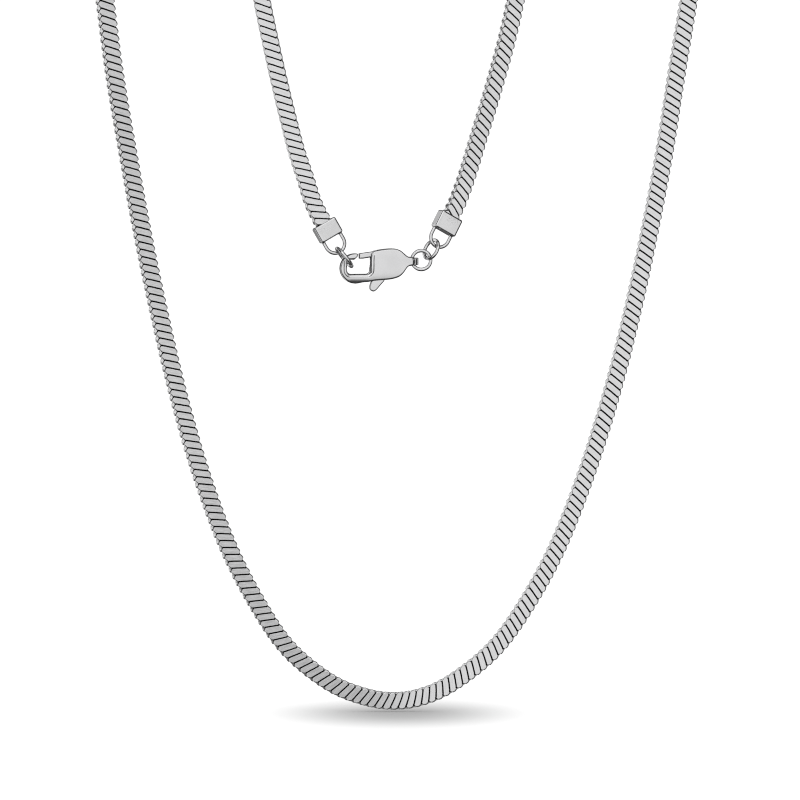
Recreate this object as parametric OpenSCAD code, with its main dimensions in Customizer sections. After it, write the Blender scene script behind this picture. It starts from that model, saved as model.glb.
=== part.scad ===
// A flat snake chain necklace, closed by a lobster clasp and hanging over a bar or a neck.
// Millimetres, +Z up, +X to the right as seen from the front, the front faces -Y.
// The origin is midway between the two places where the chain bears on what it hangs over.

/* [Chain] */
// Width of the chain's flat face
chain_w = 3.4; // [3:0.1:3.8]
// Thickness of the chain
chain_t = 2; // [1.7:0.1:2.2]
// Chamfer along the chain's four edges
chain_edge = 0.35; // [0.2:0.05:0.6]
// Depth of the neck opening, from the middle of the front strand to the middle of the back one
hang_depth = 26; // [22:1:30]

/* [End caps] */
// Cap wall beside each edge of the chain
cap_side_wall = 0.55; // [0.4:0.05:0.8]
// Cap wall over each face of the chain
cap_face_wall = 0.2; // [0.2:0.1:0.4]
// Length of the left end cap
cap_len_left = 3.3; // [2.8:0.1:3.6]
// Length of the right end cap
cap_len_right = 3.6; // [3.2:0.1:4]
// Cap wall between the chain's end and the loop
cap_end_wall = 0.8; // [0.5:0.1:1.2]
// Gap all round between the chain and the pocket of its cap
cap_gap = 0.1; // [0.05:0.05:0.15]

/* [Loops and rings] */
// Wire of the loops and rings
wire_d = 0.68; // [0.6:0.02:0.74]
// Width of a cap's loop, between the middles of its legs
loop_w = 3.8; // [3.5:0.1:4]
// Straight part of each leg of a loop
loop_leg = 1.2; // [0.9:0.1:1.4]
// Outer diameter of the ring in the clasp's hook
hook_ring_d = 5.1; // [5:0.1:5.4]
// Outer diameter of the ring in the right cap's loop
link_ring_d = 4.5; // [4.4:0.1:4.8]
// Outer diameter of the ring in the clasp's tail eye
tail_ring_d = 4.3; // [4.1:0.1:4.5]
// Gap left where one link hangs in another
hang_gap = 0.15; // [0.1:0.05:0.2]

/* [Clasp] */
// Length of the clasp's body without the hook and the eye
body_l = 7.6; // [7.2:0.1:8]
// Height of the clasp's body
body_h = 6; // [5.8:0.1:6.2]
// Thickness of the clasp's body at its crown
body_t = 2.8; // [2.6:0.1:3.2]
// How much the faces of the body fall away towards their edges
body_crown = 0.35; // [0.2:0.05:0.4]
// Outer radius of the hook
hook_r = 2.87; // [2.8:0.01:2.95]
// Thickness of the hook, front to back
hook_t = 2; // [1.8:0.1:2.2]
// Width of the hook's bar at its bend, as seen from the front
hook_bar = 1.3; // [1.1:0.1:1.4]
// Thickness of the lever
lever_t = 1.2; // [1:0.05:1.3]
// Gap on each side of the lever in its slot
lever_gap = 0.05; // [0.03:0.01:0.1]
// Radius of the lever's pin
pin_r = 0.4; // [0.3:0.02:0.5]
// Radial clearance of the lever on its pin
pin_clearance = 0.04; // [0.02:0.01:0.08]
// Outside radius of the clasp's tail eye
eye_r = 1.1; // [1.05:0.05:1.2]
// Height of the tail eye
eye_h = 1.4; // [1.2:0.1:1.5]

/* [Hidden] */
chain_color = "#bfc0c2";
polish_color = "#d9dadc";
eps = 0.01;
turned = 96;

bar_r = hang_depth / 2;
bar_z = chain_t / 2 - bar_r;
arch_steps = 10;

// The route of the chain, strand by strand. A row is x, forward lean, z, roll in degrees about
// the way of travel, and the number of rings to the next row.
back_left_rows = [
    [-12.8, 0.5, -65.9, 17, 1],
    [-14, 0.5, -63.8, 17, 1],
    [-15.9, 0.4, -60, 15, 1],
    [-17.5, 0.2, -55, 12, 1],
    [-19.4, 0, -49, 8, 1],
    [-22.1, 0, -38, 4, 1],
    [-24.3, 0, -28, 3, 1],
    [-25.9, 0, -20, 3, 1],
];
front_rows = [
    [-54.6, 0, -20, -23, 2],
    [-52.7, 0, -35, -23, 2],
    [-50.2, 0, -50, -23, 2],
    [-47.5, 0, -65, -22, 2],
    [-44.4, 0, -80, -21, 2],
    [-40.9, 0, -95, -20, 2],
    [-36.6, 0, -110, -18, 2],
    [-31.4, 0, -124, -16, 2],
    [-25.7, 0, -135, -13, 2],
    [-20.1, 0, -143, -11, 2],
    [-12.7, 0, -149, -9, 1],
    [-6.4, 0, -151.7, -7, 1],
    [-0.8, 0, -152.6, -5, 1],
    [4.8, 0, -151.8, -2, 1],
    [10.7, 0, -149, 1, 2],
    [18.1, 0, -143, 4, 2],
    [24, 0, -135, 6, 2],
    [30, 0, -124, 8, 2],
    [35.5, 0, -110, 9, 2],
    [40.2, 0, -95, 9, 2],
    [44, 0, -80, 9, 2],
    [47.2, 0, -65, 9, 2],
    [50, 0, -50, 9, 2],
    [52.3, 0, -35, 9, 2],
    [54.7, 0, -20, 9, 2],
];
back_right_rows = [
    [22.9, 0, -20, -20, 1],
    [21.2, -0.3, -28, -20, 1],
    [18.5, -0.9, -38, -20, 1],
    [15.2, -1.8, -49, -20, 1],
    [13.4, -2.2, -55, -20, 1],
    [11.6, -2.2, -60, -20, 1],
    [10.3, -1.9, -62.6, -20, 1],
    [9.2, -1.4, -64.8, -20, 1],
];
// Where the chain goes over the bar: x at the back, x at the front, roll at the back, at the front.
left_arch = [-27.2, -55.6, 3, -23];
right_arch = [24.4, 55.6, -20, 9];

function unit(v) = v / norm(v);
function strand(rows, y) = [for (r = rows) [r[0], y - r[1], r[2], r[3], r[4]]];
function over_bar(arch, turn) =
    let (share = (1 - cos(turn)) / 2)
    [arch[0] + (arch[1] - arch[0]) * share, bar_r * cos(turn), bar_z + bar_r * sin(turn),
     arch[2] + (arch[3] - arch[2]) * turn / 180, 1];

route = concat(
    strand(back_left_rows, bar_r),
    [for (k = [0 : arch_steps]) over_bar(left_arch, 180 * k / arch_steps)],
    strand(front_rows, -bar_r),
    [for (k = [0 : arch_steps]) over_bar(right_arch, 180 - 180 * k / arch_steps)],
    strand(back_right_rows, bar_r)
);
last_row = len(route) - 1;
lowest_row = len(back_left_rows) + arch_steps + 1 + 12;

// A smooth curve through the rows, straight at both ends.
function row(i) =
    i < 0 ? 2 * route[0] - route[1] : i > last_row ? 2 * route[last_row] - route[last_row - 1] : route[i];
function between(i, u) =
    let (a = row(i - 1), b = row(i), c = row(i + 1), d = row(i + 2))
    b + (c - a) * u / 2 + (2 * a - 5 * b + 4 * c - d) * u * u / 2 + (3 * b - a - 3 * c + d) * u * u * u / 2;
function slope(i, u) =
    let (a = row(i - 1), b = row(i), c = row(i + 1), d = row(i + 2))
    (c - a) / 2 + (2 * a - 5 * b + 4 * c - d) * u + (3 * b - a - 3 * c + d) * u * u * 3 / 2;
function place(v) = [v[0], v[1], v[2]];

// The face of the chain lies on the bar, and turns from there by the roll of its row.
// A station is a point, the way across the chain, the way out of its face and the way of travel.
function outward(p) = [0, p.y, max(0, p.z - bar_z)];
function station(i, u) =
    let (
        v = between(i, u), p = place(v), t = unit(place(slope(i, u))),
        o = outward(p), n = unit(o - (o * t) * t), m = n * cos(v[3]) + cross(t, n) * sin(v[3])
    )
    [p, cross(m, t), m, t];
function stations(first, last) = concat(
    [for (i = [first : last - 1]) for (k = [0 : route[i][4] - 1]) station(i, k / route[i][4])],
    [station(last, 0)]
);

// The frame at an end of the chain: Z points out of the chain, X across its face.
function end_frame(i, way) =
    let (s = station(i, 0))
    [[way * s[1].x, s[2].x, way * s[3].x, s[0].x],
     [way * s[1].y, s[2].y, way * s[3].y, s[0].y],
     [way * s[1].z, s[2].z, way * s[3].z, s[0].z],
     [0, 0, 0, 1]];
left_end = end_frame(0, -1);
right_end = end_frame(last_row, 1);
function seen_from(frame, v) = place(frame * [v.x, v.y, v.z, 1]);

section = [
    [chain_w / 2 - chain_edge, chain_t / 2], [chain_w / 2, chain_t / 2 - chain_edge],
    [chain_w / 2, chain_edge - chain_t / 2], [chain_w / 2 - chain_edge, -chain_t / 2],
    [chain_edge - chain_w / 2, -chain_t / 2], [-chain_w / 2, chain_edge - chain_t / 2],
    [-chain_w / 2, chain_t / 2 - chain_edge], [chain_edge - chain_w / 2, chain_t / 2],
];
sides = len(section);

module swept_chain(line) {
    color(chain_color)
        polyhedron(
            points = [for (s = line) for (c = section) s[0] + c.x * s[1] + c.y * s[2]],
            faces = concat(
                [[for (k = [sides - 1 : -1 : 0]) k]],
                [for (r = [0 : len(line) - 2]) for (k = [0 : sides - 1])
                    let (n = (k + 1) % sides)
                    [r * sides + n, (r + 1) * sides + n, (r + 1) * sides + k, r * sides + k]],
                [[for (k = [0 : sides - 1]) (len(line) - 1) * sides + k]]
            ),
            convexity = 10
        );
}

module chain_left() {
    swept_chain(stations(0, lowest_row));
}

module chain_right() {
    swept_chain(stations(lowest_row, last_row));
}

// End caps, each soldered to its loop. The chain's end face is at the frame's origin.
pocket_w = chain_w + 2 * cap_gap;
pocket_t = chain_t + 2 * cap_gap;
cap_w = pocket_w + 2 * cap_side_wall;
cap_t = pocket_t + 2 * cap_face_wall;
cap_end = cap_gap + cap_end_wall;
loop_tip = cap_end + loop_leg + loop_w / 2;

module end_cap(cap_len) {
    color(polish_color) {
        difference() {
            translate([-cap_w / 2, -cap_t / 2, cap_end - cap_len])
                cube([cap_w, cap_t, cap_len]);
            translate([-pocket_w / 2, -pocket_t / 2, cap_end - cap_len - eps])
                cube([pocket_w, pocket_t, cap_len - cap_end_wall + eps]);
        }
        for (side = [-1, 1])
            translate([side * loop_w / 2, 0, cap_end - cap_end_wall / 2])
                cylinder(r = wire_d / 2, h = loop_leg + cap_end_wall / 2, $fn = turned);
        translate([0, 0, cap_end + loop_leg])
            rotate([90, 0, 0])
                rotate_extrude(angle = 180, $fn = turned)
                    translate([loop_w / 2, 0])
                        circle(r = wire_d / 2, $fn = turned / 3);
    }
}

module end_cap_left() {
    multmatrix(left_end) end_cap(cap_len_left);
}

module end_cap_right() {
    multmatrix(right_end) end_cap(cap_len_right);
}

// A ring lies in the plane of two ways, along and across.
function ring_middle(d) = (d - wire_d) / 2;
function ring_hole(d) = d / 2 - wire_d;

module ring(middle, along, across, d) {
    a = unit(along);
    b = unit(across - (across * a) * a);
    n = cross(a, b);
    color(polish_color)
        multmatrix([
            [a.x, b.x, n.x, middle.x], [a.y, b.y, n.y, middle.y], [a.z, b.z, n.z, middle.z], [0, 0, 0, 1],
        ])
            rotate_extrude($fn = turned)
                translate([ring_middle(d), 0])
                    circle(r = wire_d / 2, $fn = turned / 3);
}

// The clasp's own frame has X towards its tail and Z up, starts at the lower left corner of the
// body and is turned about Z. Its pieces are drawn as seen from the front.
clasp_yaw = 8;
hook_middle = [-3.1, 2.22];
pivot = [0.35 * body_l, 0.575 * body_h];
tail_reach = 0.45;
tail_eye = [body_l + tail_reach, 0.583 * body_h];
seat_turn = 135;

// The hook ring hangs from the left loop's tip towards the hook.
left_tip = seen_from(left_end, [0, 0, loop_tip]);
hook_ring_lean = -51;
hook_ring_tilt = 80;
hook_ring_along = [cos(hook_ring_lean), 0, sin(hook_ring_lean)];
hook_ring_across = [
    -hook_ring_along.z * cos(hook_ring_tilt), -sin(hook_ring_tilt), hook_ring_along.x * cos(hook_ring_tilt),
];
hook_ring_middle = left_tip + hook_ring_along * (ring_hole(hook_ring_d) - wire_d / 2 - hang_gap);

// The hook's bend fills the far side of the hook ring's hole.
seat_reach = sqrt(pow(ring_hole(hook_ring_d) - hang_gap, 2) - pow(hook_t / 2, 2)) - hook_bar / 2;
seat = hook_middle + (hook_r - hook_bar / 2) * [cos(seat_turn), sin(seat_turn)];
function turned_z(v, a) = [v.x * cos(a) - v.y * sin(a), v.x * sin(a) + v.y * cos(a), v.z];
clasp_place = hook_ring_middle + hook_ring_along * seat_reach - turned_z([seat.x, 0, seat.y], clasp_yaw);

// The tail ring runs through the eye, upright and facing the front, and the eye's hole clears its bend.
tail_ring_rise = 0.25;
eye_half = eye_h / 2;
tail_ring_far = tail_ring_d / 2;
tail_ring_near = sqrt(pow(ring_hole(tail_ring_d), 2) - pow(eye_half + tail_ring_rise, 2));
eye_hole_r = (tail_ring_far - tail_ring_near) / 2 + hang_gap;
eye_place = clasp_place + turned_z([tail_eye.x, 0, tail_eye.y], clasp_yaw);
tail_ring_middle = eye_place + [(tail_ring_far + tail_ring_near) / 2, 0, tail_ring_rise];

// The link ring joins the tail ring's upper right and the right loop's lower left.
tail_hold_turn = 45;
loop_hold_turn = 8;
link_ring_lean = 52;
link_ring_tilt = 56;
tail_hold = tail_ring_middle + ring_middle(tail_ring_d) * [cos(tail_hold_turn), 0, sin(tail_hold_turn)];
loop_hold = seen_from(right_end,
    [loop_w / 2 * sin(loop_hold_turn), 0, cap_end + loop_leg + loop_w / 2 * cos(loop_hold_turn)]);
link_ring_rise = (loop_hold.y - tail_hold.y) / (2 * ring_middle(link_ring_d));
link_ring_along = unit([cos(link_ring_lean), link_ring_rise, sin(link_ring_lean)]);
link_ring_across = [
    link_ring_along.z * cos(link_ring_tilt), -sin(link_ring_tilt), -link_ring_along.x * cos(link_ring_tilt),
];
link_ring_middle = (tail_hold + loop_hold) / 2;

module hook_ring() {
    ring(hook_ring_middle, hook_ring_along, hook_ring_across, hook_ring_d);
}

module link_ring() {
    ring(link_ring_middle, link_ring_along, link_ring_across, link_ring_d);
}

module tail_ring() {
    ring(tail_ring_middle, [1, 0, 0], [0, 0, 1], tail_ring_d);
}

// Outlines of the body, the slot and the lever's two arms, each row a share of the body's length
// and a share of its height.
body_outline = [
    [0, 0.02], [0.4, 0], [0.67, 0.07], [0.79, 0.19], [0.86, 0.32], [0.92, 0.43], [1, 0.46],
    [1, 0.72], [0.92, 0.74], [0.83, 0.84], [0.75, 0.93], [0.66, 0.985], [0.53, 1], [0.37, 0.99],
    [0.15, 0.95], [0, 0.89],
];
slot_outline = [
    [-0.02, -0.33], [0.68, -0.33], [0.66, 0.34], [0.57, 0.78], [0.43, 0.91], [0.16, 0.91],
    [0.16, 1.1], [-0.02, 1.1],
];
gate_outline = [
    [-0.31, 0.68], [-0.21, 0.68], [-0.02, 0.72], [0.12, 0.68], [0.29, 0.43],
    [0.38, 0.74], [0.22, 0.87], [0.01, 0.905], [-0.31, 0.85],
];
thumb_outline = [
    [0.21, 0.51], [0.1, 0.24], [0, -0.04], [-0.045, -0.19], [-0.035, -0.32], [0.05, -0.38],
    [0.13, -0.33], [0.24, -0.16], [0.36, 0], [0.47, 0.49],
];
hub_r = 1.1;
// The hook's nose ends a gap before the gate's tip, cut off by a line up and two slanting ones.
nose_gap = 0.1;
nose = [gate_outline[0].x * body_l - nose_gap, gate_outline[0].y * body_h];
nose_slants = [[-0.95, -0.28], [-0.25, 0.42], [0, 1.17], [0, 3]];
opening_h = 2.7;
opening_corner = 0.8;
bar_h = 1.85;
bar_rise = 0.33;
bar_root = 1.5;
bar_low = hook_middle.y - hook_r;
opening_z = bar_low + bar_h;
opening_x = hook_middle.x - hook_r + hook_bar;
slot_t = lever_t + 2 * lever_gap;
pin_fit = 0.01;
pin_cover = 0.25;
pin_len = body_t - 2 * pin_cover;

module in_clasp() {
    translate(clasp_place) rotate([0, 0, clasp_yaw]) children();
}

module upright(t) {
    rotate([90, 0, 0]) linear_extrude(t, center = true) children();
}

module outline(rows) {
    polygon([for (p = rows) [p.x * body_l, p.y * body_h]]);
}

module rounded(x, z, l, h, r) {
    translate([x + r, z]) square([l - 2 * r, h]);
    translate([x, z + r]) square([l, h - 2 * r]);
    for (cx = [x + r, x + l - r], cz = [z + r, z + h - r])
        translate([cx, cz]) circle(r = r, $fn = turned / 2);
}

// A bore or pin along Y at the lever's pivot.
module at_pivot(r, l) {
    translate([pivot.x, 0, pivot.y]) rotate([90, 0, 0])
        cylinder(r = r, h = l, center = true, $fn = turned);
}

// An upright cylinder at the tail eye.
module at_eye(r, h) {
    translate([tail_eye.x, 0, tail_eye.y]) cylinder(r = r, h = h, center = true, $fn = turned);
}

// Two pairs of large cylinders crown the two faces of the body, over its length and its height.
function crown_r(l) = (l * l / 4 + body_crown * body_crown) / (2 * body_crown);
module body_solid() {
    intersection() {
        upright(body_t) outline(body_outline);
        intersection_for(face = [-1, 1])
            translate([body_l / 2, face * (crown_r(body_h) - body_t / 2), body_h / 2]) rotate([0, 90, 0])
                cylinder(r = crown_r(body_h), h = 2 * body_l, center = true, $fn = 4 * turned);
        intersection_for(face = [-1, 1])
            translate([body_l / 2, face * (crown_r(body_l) - body_t / 2), body_h / 2])
                cylinder(r = crown_r(body_l), h = 2 * body_h, center = true, $fn = 4 * turned);
    }
}

module hook_plan() {
    difference() {
        union() {
            translate(hook_middle) circle(r = hook_r, $fn = turned);
            polygon([
                [hook_middle.x, bar_low], [0, bar_low + bar_rise], [bar_root, bar_low + 2 * bar_rise],
                [bar_root, opening_z + bar_rise], [hook_middle.x, opening_z + bar_rise],
            ]);
        }
        rounded(opening_x, opening_z, -opening_x, opening_h, opening_corner);
        polygon(concat(
            [for (p = nose_slants) nose + p],
            [[0, nose.y + nose_slants[3].y], [0, opening_z + opening_h / 2]]
        ));
    }
}

module clasp_body() {
    color(polish_color)
        in_clasp()
            difference() {
                union() {
                    body_solid();
                    upright(hook_t) hook_plan();
                    at_eye(eye_r, eye_h);
                }
                upright(slot_t) outline(slot_outline);
                at_eye(eye_hole_r, 2 * eye_h);
                at_pivot(pin_r + pin_fit, pin_len + 2 * pin_fit);
            }
}

module clasp_lever() {
    color(polish_color)
        in_clasp()
            difference() {
                upright(lever_t) {
                    translate(pivot) circle(r = hub_r, $fn = turned / 2);
                    outline(gate_outline);
                    outline(thumb_outline);
                }
                at_pivot(pin_r + pin_clearance, 2 * lever_t);
            }
}

module lever_pin() {
    color(polish_color)
        in_clasp()
            at_pivot(pin_r, pin_len);
}

chain_left();
chain_right();
end_cap_left();
end_cap_right();
hook_ring();
link_ring();
tail_ring();
clasp_body();
clasp_lever();
lever_pin();
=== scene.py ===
"""A flat snake chain necklace of bent steel rings, hanging closed by its lobster clasp.

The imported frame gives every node's place. The chain's two swept halves are replaced by their rings,
and the caps, loops, jump rings and clasp by pieces with softened edges. The chain, floor, camera and
lights are in metres, and the pieces that close the chain in millimetres.
"""

import math
from functools import cache

import bpy
import numpy as np
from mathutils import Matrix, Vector


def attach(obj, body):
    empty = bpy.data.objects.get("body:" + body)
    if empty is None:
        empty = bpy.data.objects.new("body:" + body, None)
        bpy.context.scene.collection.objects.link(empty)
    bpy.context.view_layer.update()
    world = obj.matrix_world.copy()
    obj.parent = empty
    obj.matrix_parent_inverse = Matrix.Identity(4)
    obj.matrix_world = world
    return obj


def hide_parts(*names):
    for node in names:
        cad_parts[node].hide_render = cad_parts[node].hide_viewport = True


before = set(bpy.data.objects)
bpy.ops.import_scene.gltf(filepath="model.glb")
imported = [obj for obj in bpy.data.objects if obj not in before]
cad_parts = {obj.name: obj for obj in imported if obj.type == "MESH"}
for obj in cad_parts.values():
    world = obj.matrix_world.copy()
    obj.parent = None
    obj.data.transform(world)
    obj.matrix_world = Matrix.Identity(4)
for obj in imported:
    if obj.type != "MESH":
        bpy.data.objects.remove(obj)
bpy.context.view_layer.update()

MM = 0.001

# The chain: the same width, thickness and route as the CAD nodes chain_left and chain_right.
CHAIN_W = 0.0034
CHAIN_T = 0.002
BAR_R = 0.013
BAR_Z = CHAIN_T / 2 - BAR_R
ARCH_STEPS = 10

# Rows of x, forward lean, z and roll in degrees about the way of travel.
BACK_LEFT = [
    (-0.0128, 0.0005, -0.0659, 17), (-0.014, 0.0005, -0.0638, 17), (-0.0159, 0.0004, -0.06, 15),
    (-0.0175, 0.0002, -0.055, 12), (-0.0194, 0, -0.049, 8), (-0.0221, 0, -0.038, 4),
    (-0.0243, 0, -0.028, 3), (-0.0259, 0, -0.02, 3),
]
FRONT = [
    (-0.0546, 0, -0.02, -23), (-0.0527, 0, -0.035, -23), (-0.0502, 0, -0.05, -23),
    (-0.0475, 0, -0.065, -22), (-0.0444, 0, -0.08, -21), (-0.0409, 0, -0.095, -20),
    (-0.0366, 0, -0.11, -18), (-0.0314, 0, -0.124, -16), (-0.0257, 0, -0.135, -13),
    (-0.0201, 0, -0.143, -11), (-0.0127, 0, -0.149, -9), (-0.0064, 0, -0.1517, -7),
    (-0.0008, 0, -0.1526, -5), (0.0048, 0, -0.1518, -2), (0.0107, 0, -0.149, 1),
    (0.0181, 0, -0.143, 4), (0.024, 0, -0.135, 6), (0.03, 0, -0.124, 8), (0.0355, 0, -0.11, 9),
    (0.0402, 0, -0.095, 9), (0.044, 0, -0.08, 9), (0.0472, 0, -0.065, 9), (0.05, 0, -0.05, 9),
    (0.0523, 0, -0.035, 9), (0.0547, 0, -0.02, 9),
]
BACK_RIGHT = [
    (0.0229, 0, -0.02, -20), (0.0212, -0.0003, -0.028, -20), (0.0185, -0.0009, -0.038, -20),
    (0.0152, -0.0018, -0.049, -20), (0.0134, -0.0022, -0.055, -20), (0.0116, -0.0022, -0.06, -20),
    (0.0103, -0.0019, -0.0626, -20), (0.0092, -0.0014, -0.0648, -20),
]
# Over the bar: x and roll at the back, x and roll at the front.
LEFT_ARCH = ((-0.0272, 3), (-0.0556, -23))
RIGHT_ARCH = ((0.0244, -20), (0.0556, 9))
# The row of the front strand that is lowest, and its number on the whole route.
LOWEST_IN_FRONT = 12
LOWEST_ROW = len(BACK_LEFT) + ARCH_STEPS + 1 + LOWEST_IN_FRONT

# Places of some of the gaps between the rings: length along the chain, and the gap's number.
GAP_PLACES = [
    (0.0032, 0), (0.0234, 14), (0.0455, 29), (0.1182, 79), (0.1652, 112), (0.226, 155), (0.2583, 178),
    (0.2846, 197), (0.3448, 240), (0.38, 265), (0.4156, 290), (0.49, 341), (0.5088, 354), (0.5302, 369),
]
FIRST_GAP = -2
LAST_GAP = 371
# One ring of the chain. Its outer band is CHAIN_W by CHAIN_T, with a gap before the next ring's band,
# and a flange reaches under the next ring.
GAP = 0.27 * MM
# The corners are elliptical: their length along the width, sharper on the side that is in sight, and
# along the thickness.
CORNER_W = 0.36 * MM
CREASE_W = 0.2 * MM
CORNER_T = 0.32 * MM
# How far the middle of each side lies inside the ring's corners.
WAIST = 0.1 * MM
# How strongly the rings are bent along the chain, in front and behind.
SADDLE_FRONT = 400.0
SADDLE_BACK = 520.0
# How much flatter the slant gets at the edges than in the middle of a face.
SLANT_EASE = 0.45
# Each corner of the ring is widest at this share of its half band, and falls away by this much at the
# band's edges, as powers of the way to the near and the far edge.
WIDEST = 0.3
FALL = 0.34 * MM
NEAR_POWER, FAR_POWER = 1.8, 2
# The least fall of the points inside the chain.
INNER_FALL = FALL / 4
# The share of that in the middle of a side, and the place on the face where it starts.
MIDDLE_FALL = 0.6
FALL_FROM = 0.9 * MM
# How fast one corner's fall goes over into its neighbour's.
HAND_CHANGE = 2.5
# Points round the ring's wall: share of half the band along the chain, depth under the band's face,
# and degrees by which the surface turns from the face towards the band's far edge.
WALL = [
    (-1.0, 0.22 * MM, -80), (-0.97, 0.06 * MM, -45), (-0.9, 0.0, 0), (-0.55, 0.0, 0), (0.1, 0.0, 0),
    (0.55, 0.0, 0), (0.9, 0.0, 0), (0.97, 0.06 * MM, 45), (1.0, 0.22 * MM, 80),
    (1.7, 0.5 * MM, 0), (1.7, 0.75 * MM, 90), (-0.9, 0.46 * MM, -90),
]
WALL_SHARE, WALL_DEPTH, WALL_TURN = np.array(WALL).T
# The wall's points from this one on are inside the chain, where little light comes.
INNER_WALL = 8
OUTER = np.arange(len(WALL)) <= INNER_WALL
# How far the streaks' map jumps from ring to ring.
MAP_JUMP = 7.3

# The end caps, rings and clasp, in millimetres. They are as in the CAD, apart from the wire, which is
# 0.01 mm thicker in radius, the softened edges, and the clasp's body: it is thicker and domed, and its
# outline, slot, bar and opening differ a little.
CAP_W, CAP_T = 4.7, 2.6
CAP_LEFT, CAP_RIGHT = 3.3, 3.6
CAP_ROUND = 0.42
POCKET_W, POCKET_T = 3.6, 2.2
POCKET_ROUND = 0.05
CAP_END_WALL = 0.8
CAP_END = 0.9
WIRE_R = 0.35
LOOP_R = 1.9
LOOP_LEG = 1.2
LOOP_TIP = CAP_END + LOOP_LEG + LOOP_R
SOLDER = 0.25
HANG_GAP = 0.15
HOOK_RING_R, LINK_RING_R, TAIL_RING_R = 2.55, 2.25, 2.15
HOOK_RING_LEAN, HOOK_RING_TILT = math.radians(-51), math.radians(80)
LINK_RING_LEAN, LINK_RING_TILT = math.radians(52), math.radians(56)
TAIL_HOLD_TURN, LOOP_HOLD_TURN = math.radians(45), math.radians(8)
TAIL_RING_RISE = 0.25

BODY_L, BODY_H = 7.6, 6.0
# Where the body begins beside the hook's opening.
BODY_LEFT = -0.23
HOOK_R, HOOK_T, HOOK_BAR = 2.87, 2.0, 1.3
HOOK_MIDDLE = (-3.1, 2.22)
SEAT_TURN = math.radians(135)
CLASP_YAW = math.radians(8)
PIVOT = (2.66, 3.45)
EYE_R, EYE_H, EYE_HOLE_R = 1.1, 1.4, 0.664
TAIL_EYE = (8.05, 3.5)
SLOT_T = 1.3
LEVER_T = 1.2
HUB_R = 1.1
PIN_R, PIN_L = 0.4, 2.3
# The room round the pin in the body and in the lever.
PIN_FIT, PIN_GAP = 0.01, 0.04
BAR_LOW = HOOK_MIDDLE[1] - HOOK_R
BAR_H = 1.85
OPENING_X = HOOK_MIDDLE[0] - HOOK_R + HOOK_BAR
OPENING_Z = BAR_LOW + BAR_H
OPENING_H = 2.7
OPENING_CORNER = 0.8

# Outlines as shares of the body's length and height.
BODY_OUTLINE = [
    (0, 0.02), (0.4, 0), (0.67, 0.07), (0.79, 0.19), (0.86, 0.32), (0.92, 0.43), (1, 0.46), (1.06, 0.47),
    (1.06, 0.7), (1, 0.72), (0.92, 0.74), (0.83, 0.84), (0.75, 0.93), (0.66, 0.985), (0.53, 1), (0.37, 0.99),
    (0.13, 0.95), (0, 0.9), (-0.03, 0.75), (-0.03, 0.3),
]
SLOT_OUTLINE = [
    (-0.02, -0.33), (0.68, -0.33), (0.66, 0.34), (0.57, 0.78), (0.43, 0.91), (0.16, 0.91), (0.16, 1.1),
    (-0.06, 1.1), (-0.06, 0.42), (-0.01, 0.36),
]
GATE_OUTLINE = [
    (-0.31, 0.68), (-0.21, 0.68), (-0.02, 0.72), (0.12, 0.68), (0.29, 0.43),
    (0.38, 0.74), (0.22, 0.87), (0.01, 0.905), (-0.31, 0.85),
]
THUMB_OUTLINE = [
    (0.21, 0.51), (0.1, 0.24), (0, -0.04), (-0.045, -0.19), (-0.035, -0.32), (0.05, -0.38),
    (0.13, -0.33), (0.24, -0.16), (0.36, 0), (0.47, 0.49),
]
# In millimetres: the hook's bar, from the bend into the body, and what is cut off at its nose, by a line
# up and two slanting ones.
BAR_OUTLINE = [(-3.1, -0.5), (-0.6, -0.36), (1.5, 0.05), (4, 0.5), (4, 1.53), (-3.1, 1.53)]
NOSE_CUT = [(-3.406, 3.8), (-2.706, 4.5), (-2.456, 5.25), (-2.456, 7.1), (0.3, 7.1), (0.3, 2.5)]
# The share of each line of an outline that is taken off at either end to cut the corners.
CORNER_CUT = 0.25
# How softly forms of the clasp melt together, and how softly its cuts begin.
BAR_BLEND, NECK_BLEND, EYE_BLEND, LEVER_BLEND = 0.3, 0.4, 0.35, 0.2
NOSE_EDGE, EYE_HOLE_EDGE, CUT_EDGE = 0.15, 0.12, 0.06
BODY_ROUND = 0.34
LEVER_ROUND = 0.34
EYE_ROUND = 0.15

# The faces of the clasp: half thicknesses of bar and body, and the x between which one goes into the other.
BAR_HALF, BODY_HALF = 1.3, 1.48
THICKENS = (-1.4, 1.8)
CROWN_UP, CROWN_DOWN = 0.12, 0.36
CROWN_LONG = 0.08
# The bright bevel down the body's near edge and along the inside of the hook: it is weaker on the bend
# and near the top, and ends on the body.
BEVEL_W = 0.5
BEVEL_SLOPE = 0.55
BEVEL_SOFT = 0.08
BEND_SHARE, BEND_X = 0.3, (-5, -3.6)
TOP_LESS, TOP_Z = 0.65, (4.4, 5.2)
BEVEL_END_X = (1.2, 2.8)
# Where the bevel starts to follow the body's edge instead of the opening's, and the opening's top for it.
BODY_EDGE_Z, BODY_EDGE_X = (2, 3.2), (-1, -0.3)
OPEN_TOP = 9
# The hook's nose has no bevel.
NOSE_Z, NOSE_X = (3.4, 4.4), (-2, -1)
# The step from the face down to the bevel.
STEP_H = 0.18
STEP_W = 0.28
# How much the hook's bar is domed, over half its height, and where the dome begins and ends.
BAR_DOME = 0.12
BAR_MIDDLE_Z, BAR_HALF_H = 0.3, 0.9
DOME_TOP_Z, DOME_FROM_X, DOME_TO_X = (1.2, 2), (-5, -3.8), (-1.4, 0.4)

# Cells of the grids on which the rounded forms are skinned, and the boxes that the grids fill.
CAP_CELL, BODY_CELL, LEVER_CELL = 0.05, 0.07, 0.1
CAP_MARGIN = 0.2
BODY_BOX = ((-6.2, -1.6, -0.9), (9.4, 1.6, 6.2))
LEVER_BOX = ((-2.6, -0.8, -2.5), (4, 0.8, 5.7))
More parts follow.
